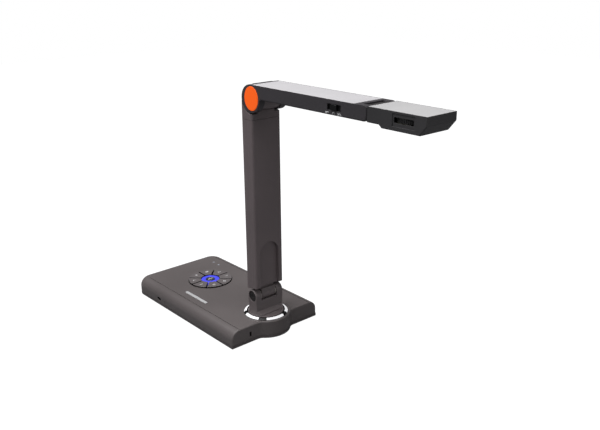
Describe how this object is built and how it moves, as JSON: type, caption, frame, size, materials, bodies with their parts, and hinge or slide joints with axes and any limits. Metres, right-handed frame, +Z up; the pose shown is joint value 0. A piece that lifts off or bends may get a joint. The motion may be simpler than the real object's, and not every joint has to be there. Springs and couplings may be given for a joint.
{
  "type": "document camera",
  "caption": "Desktop document camera: a weighted base with a round keypad and a swivelling turret carries a jointed arm with a tilting camera head, lamp switch and focus wheel.",
  "frame": {"origin": "where the turret's swivel axis meets the desk, in the middle of the large rubber foot under the turret", "axes": "+Z up; +X is the way the upper arm and the camera head point, from the turret away from the keypad; +Y is to the left of that direction, away from the lamp switch"},
  "size_m": [0.496, 0.1436, 0.33],
  "materials": {
    "case_top_plastic": "satin",
    "case_bottom_plastic": "satin",
    "foot_rubber": "matte",
    "screw_steel": "satin",
    "ballast_steel": "satin",
    "board_green": "satin",
    "key_plastic": "satin",
    "key_centre_plastic": "satin",
    "mat_silicone": "matte",
    "ring_light_blue": "gloss",
    "badge_plastic": "satin",
    "indicator_clear": "gloss",
    "socket_black": "satin",
    "ring_chrome": "polished",
    "washer_nylon": "satin",
    "turret_plastic": "satin",
    "hinge_steel": "satin",
    "lower_arm_plastic": "satin",
    "cap_orange": "satin",
    "upper_arm_plastic": "satin",
    "plate_light": "satin",
    "switch_black": "satin",
    "head_plastic": "satin",
    "knuckle_grey": "satin",
    "focus_rubber": "matte",
    "lens_black": "anodised",
    "lens_clear": "polished",
    "led_yellow": "gloss"
  },
  "bodies": {
    "base": {"base_top_shell": "case_top_plastic", "base_bottom_cover": "case_bottom_plastic", "base_feet": "foot_rubber", "base_screws": "screw_steel", "ballast_plate": "ballast_steel", "main_board": "board_green", "keypad_carrier": "key_plastic", "keypad_mat": "mat_silicone", "keypad_light_ring": "ring_light_blue", "name_badge_blank": "badge_plastic", "indicator_light_pipes": "indicator_clear", "rear_power_jack": "socket_black", "rear_usb_socket": "socket_black", "side_socket": "socket_black", "lock_slot_plate": "socket_black", "turret_trim_ring": "ring_chrome"},
    "turret": {"turret_disc": "turret_plastic", "turret_bracket": "turret_plastic", "bracket_screws": "screw_steel", "hinge_caps": "turret_plastic", "lower_hinge_pin": "hinge_steel", "lower_hinge_washers": "washer_nylon", "spindle_nut": "hinge_steel", "turret_washers": "washer_nylon"},
    "lower_arm": {"lower_arm_rear_shell": "lower_arm_plastic", "lower_arm_front_cover": "lower_arm_plastic", "lower_arm_knuckle": "turret_plastic", "lower_arm_spine": "hinge_steel", "lower_arm_screws": "screw_steel", "elbow_neck": "lower_arm_plastic", "elbow_spring": "hinge_steel"},
    "upper_arm": {"upper_arm_body": "upper_arm_plastic", "upper_arm_top_plate": "plate_light", "elbow_caps": "cap_orange", "elbow_pin": "hinge_steel", "elbow_washers": "washer_nylon", "top_plate_screws": "screw_steel", "lamp_driver_board": "board_green", "head_tilt_pin": "hinge_steel"},
    "head": {"head_housing": "head_plastic", "head_top_plate": "plate_light", "head_knuckle": "knuckle_grey", "lens_bezel": "head_plastic", "lens_glass": "lens_clear", "lens_barrel": "lens_black", "lens_elements": "lens_clear", "sensor_board": "board_green", "lamp_window": "lens_clear", "lamp_leds": "led_yellow"},
    "focus": {"focus_ring": "focus_rubber"},
    "lamp_slider": {"lamp_switch": "switch_black"},
    "ok": {"ok_key": "key_centre_plastic"},
    "key_1": {"pad_key_1": "key_plastic"},
    "key_2": {"pad_key_2": "key_plastic"},
    "key_3": {"pad_key_3": "key_plastic"},
    "key_4": {"pad_key_4": "key_plastic"},
    "key_5": {"pad_key_5": "key_plastic"},
    "key_6": {"pad_key_6": "key_plastic"},
    "key_7": {"pad_key_7": "key_plastic"},
    "key_8": {"pad_key_8": "key_plastic"}
  },
  "joints": [
    {"name": "turret_swivel", "type": "hinge", "parent": "base", "child": "turret", "pos_m": [0, 0, 0.0246], "axis": [0, 0, 1], "range_deg": [-90, 90]},
    {"name": "lower_arm_tilt", "type": "hinge", "parent": "turret", "child": "lower_arm", "pos_m": [0, 0, 0.0525], "axis": [0, 1, 0], "range_deg": [-90, 15]},
    {"name": "elbow_fold", "type": "hinge", "parent": "lower_arm", "child": "upper_arm", "pos_m": [0.0096, 0, 0.313], "axis": [0, 1, 0], "range_deg": [-45, 86]},
    {"name": "head_tilt", "type": "hinge", "parent": "upper_arm", "child": "head", "pos_m": [0.1935, 0, 0.325], "axis": [0, -1, 0], "range_deg": [0, 90]},
    {"name": "focus_turn", "type": "hinge", "parent": "head", "child": "focus", "pos_m": [0.2465, 0, 0.3216], "axis": [0, 0, 1], "range_deg": [-60, 60]},
    {"name": "lamp_slide", "type": "slide", "parent": "upper_arm", "child": "lamp_slider", "axis": [1, 0, 0], "range_m": [-0.0034, 0.0034]},
    {"name": "ok_press", "type": "slide", "parent": "base", "child": "ok", "axis": [0, 0, -1], "range_m": [0, 0.0008], "stiffness_N_per_m": 800},
    {"name": "key_1_press", "type": "slide", "parent": "base", "child": "key_1", "axis": [0, 0, -1], "range_m": [0, 0.0008], "stiffness_N_per_m": 800},
    {"name": "key_2_press", "type": "slide", "parent": "base", "child": "key_2", "axis": [0, 0, -1], "range_m": [0, 0.0008], "stiffness_N_per_m": 800},
    {"name": "key_3_press", "type": "slide", "parent": "base", "child": "key_3", "axis": [0, 0, -1], "range_m": [0, 0.0008], "stiffness_N_per_m": 800},
    {"name": "key_4_press", "type": "slide", "parent": "base", "child": "key_4", "axis": [0, 0, -1], "range_m": [0, 0.0008], "stiffness_N_per_m": 800},
    {"name": "key_5_press", "type": "slide", "parent": "base", "child": "key_5", "axis": [0, 0, -1], "range_m": [0, 0.0008], "stiffness_N_per_m": 800},
    {"name": "key_6_press", "type": "slide", "parent": "base", "child": "key_6", "axis": [0, 0, -1], "range_m": [0, 0.0008], "stiffness_N_per_m": 800},
    {"name": "key_7_press", "type": "slide", "parent": "base", "child": "key_7", "axis": [0, 0, -1], "range_m": [0, 0.0008], "stiffness_N_per_m": 800},
    {"name": "key_8_press", "type": "slide", "parent": "base", "child": "key_8", "axis": [0, 0, -1], "range_m": [0, 0.0008], "stiffness_N_per_m": 800}
  ]
}
